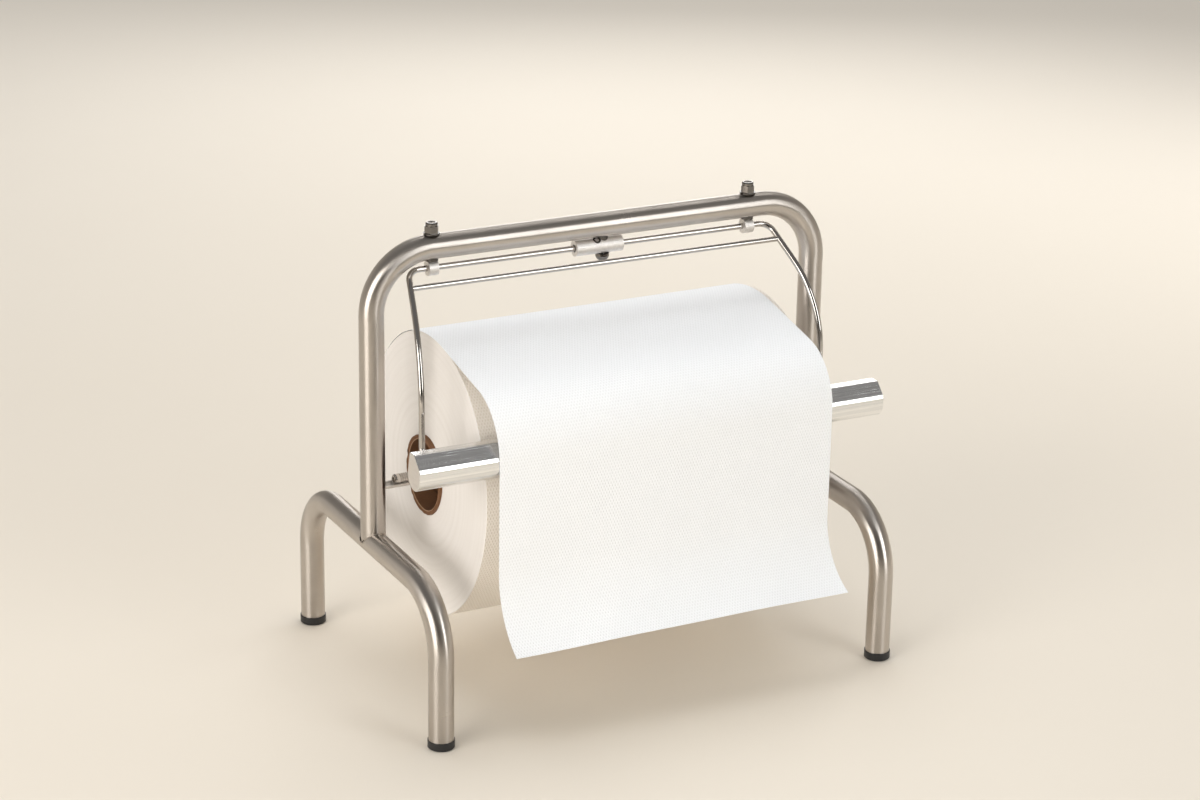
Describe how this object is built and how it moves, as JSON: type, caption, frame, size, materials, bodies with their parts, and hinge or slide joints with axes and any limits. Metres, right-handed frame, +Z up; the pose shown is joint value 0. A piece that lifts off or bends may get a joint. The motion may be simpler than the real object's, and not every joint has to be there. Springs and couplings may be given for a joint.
{
  "type": "paper roll dispenser",
  "caption": "Table stand for a food paper roll: bent tube frame on arched legs, roll turning on an axle, and a hinged wire yoke that rests a tear bar on the paper.",
  "frame": {"origin": "middle of the part's box, on the table under the feet", "axes": "+X along the roll from left to right seen from the front, -Y towards the front where the sheet hangs, +Z up"},
  "size_m": [0.5188, 0.3672, 0.4726],
  "materials": {
    "satin_steel": "satin",
    "black_plastic": "matte",
    "bright_steel": "polished",
    "dark_steel": "plain",
    "matte_sleeve": "matte",
    "bar_aluminium": "brushed",
    "white_paper": "matte, embossed",
    "brown_card": "matte",
    "hub_plastic": "matte"
  },
  "bodies": {
    "stand": {"main_frame": "satin_steel", "left_leg": "satin_steel", "right_leg": "satin_steel", "front_left_plug": "black_plastic", "rear_left_plug": "black_plastic", "front_right_plug": "black_plastic", "rear_right_plug": "black_plastic", "left_eye_bolt": "bright_steel", "right_eye_bolt": "bright_steel", "left_seat_washer": "dark_steel", "right_seat_washer": "dark_steel", "left_top_washer": "dark_steel", "right_top_washer": "dark_steel", "left_lock_nut": "dark_steel", "right_lock_nut": "dark_steel", "centre_sleeve": "matte_sleeve", "sleeve_spacer": "dark_steel", "sleeve_bolt": "bright_steel", "left_saddle": "satin_steel", "right_saddle": "satin_steel", "roll_axle": "bright_steel", "left_axle_cap": "bright_steel", "right_axle_cap": "bright_steel", "left_collar": "dark_steel", "right_collar": "dark_steel", "paper_web": "white_paper"},
    "yoke": {"left_wire": "bright_steel", "right_wire": "bright_steel", "brace_rod": "bright_steel", "tear_bar": "bar_aluminium", "bar_grub_screws": "dark_steel"},
    "roll": {"paper_roll": "white_paper", "cardboard_core": "brown_card", "left_hub": "hub_plastic", "right_hub": "hub_plastic"},
    "tail": {"paper_tail": "white_paper"}
  },
  "joints": [
    {"name": "yoke_swing", "type": "hinge", "parent": "stand", "child": "yoke", "pos_m": [-0.00588, 0.00737, 0.4265], "axis": [-1, 0, 0], "range_deg": [0, 46], "deforming": ["paper_web"]},
    {"name": "roll_spin", "type": "hinge", "parent": "stand", "child": "roll", "pos_m": [0.00513, 0.01737, 0.209], "axis": [1, 0, 0], "continuous": true},
    {"name": "tail_hang", "type": "hinge", "parent": "yoke", "child": "tail", "pos_m": [0.00513, -0.12795, 0.2705], "axis": [-1, 0, 0], "range_deg": [-46, 0]}
  ],
  "couplings": [
    {"joint": "tail_hang", "follows": "yoke_swing", "ratio": -1}
  ]
}
